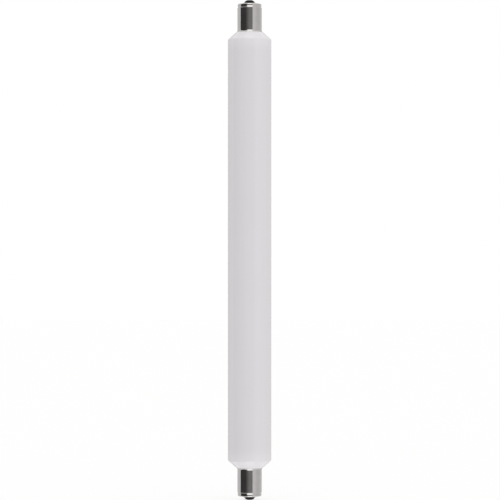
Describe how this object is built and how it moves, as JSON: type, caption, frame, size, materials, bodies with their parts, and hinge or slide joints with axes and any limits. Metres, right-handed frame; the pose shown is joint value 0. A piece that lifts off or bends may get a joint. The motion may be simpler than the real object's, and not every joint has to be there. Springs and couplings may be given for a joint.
{
  "type": "tubular light bulb",
  "caption": "Long opal glass tube lamp with conical shoulders and a smooth nickel-plated single-contact cap on each end, held between spring lampholders.",
  "frame": {"origin": "middle of the lamp, on its axis", "axes": "+Z along the lamp's axis, from the lower cap to the upper cap; X and Y are across it and alike"},
  "size_m": [0.027, 0.027, 0.31],
  "materials": {
    "opal_glass": "soft white opal, satin",
    "nickel_plate": "bright nickel plate on drawn brass",
    "black_glass": "dull black",
    "tinned_contact": "tinned, tarnished dark",
    "capping_cement": "matt, baked",
    "copper_wire": "bare drawn wire"
  },
  "bodies": {
    "root": {"bulb": "opal_glass", "upper_cap_shell": "nickel_plate", "lower_cap_shell": "nickel_plate", "upper_cap_insulator": "black_glass", "lower_cap_insulator": "black_glass", "upper_cap_contact": "tinned_contact", "lower_cap_contact": "tinned_contact", "upper_cap_cement": "capping_cement", "lower_cap_cement": "capping_cement", "upper_lead_wire": "copper_wire", "lower_lead_wire": "copper_wire"}
  },
  "joints": []
}
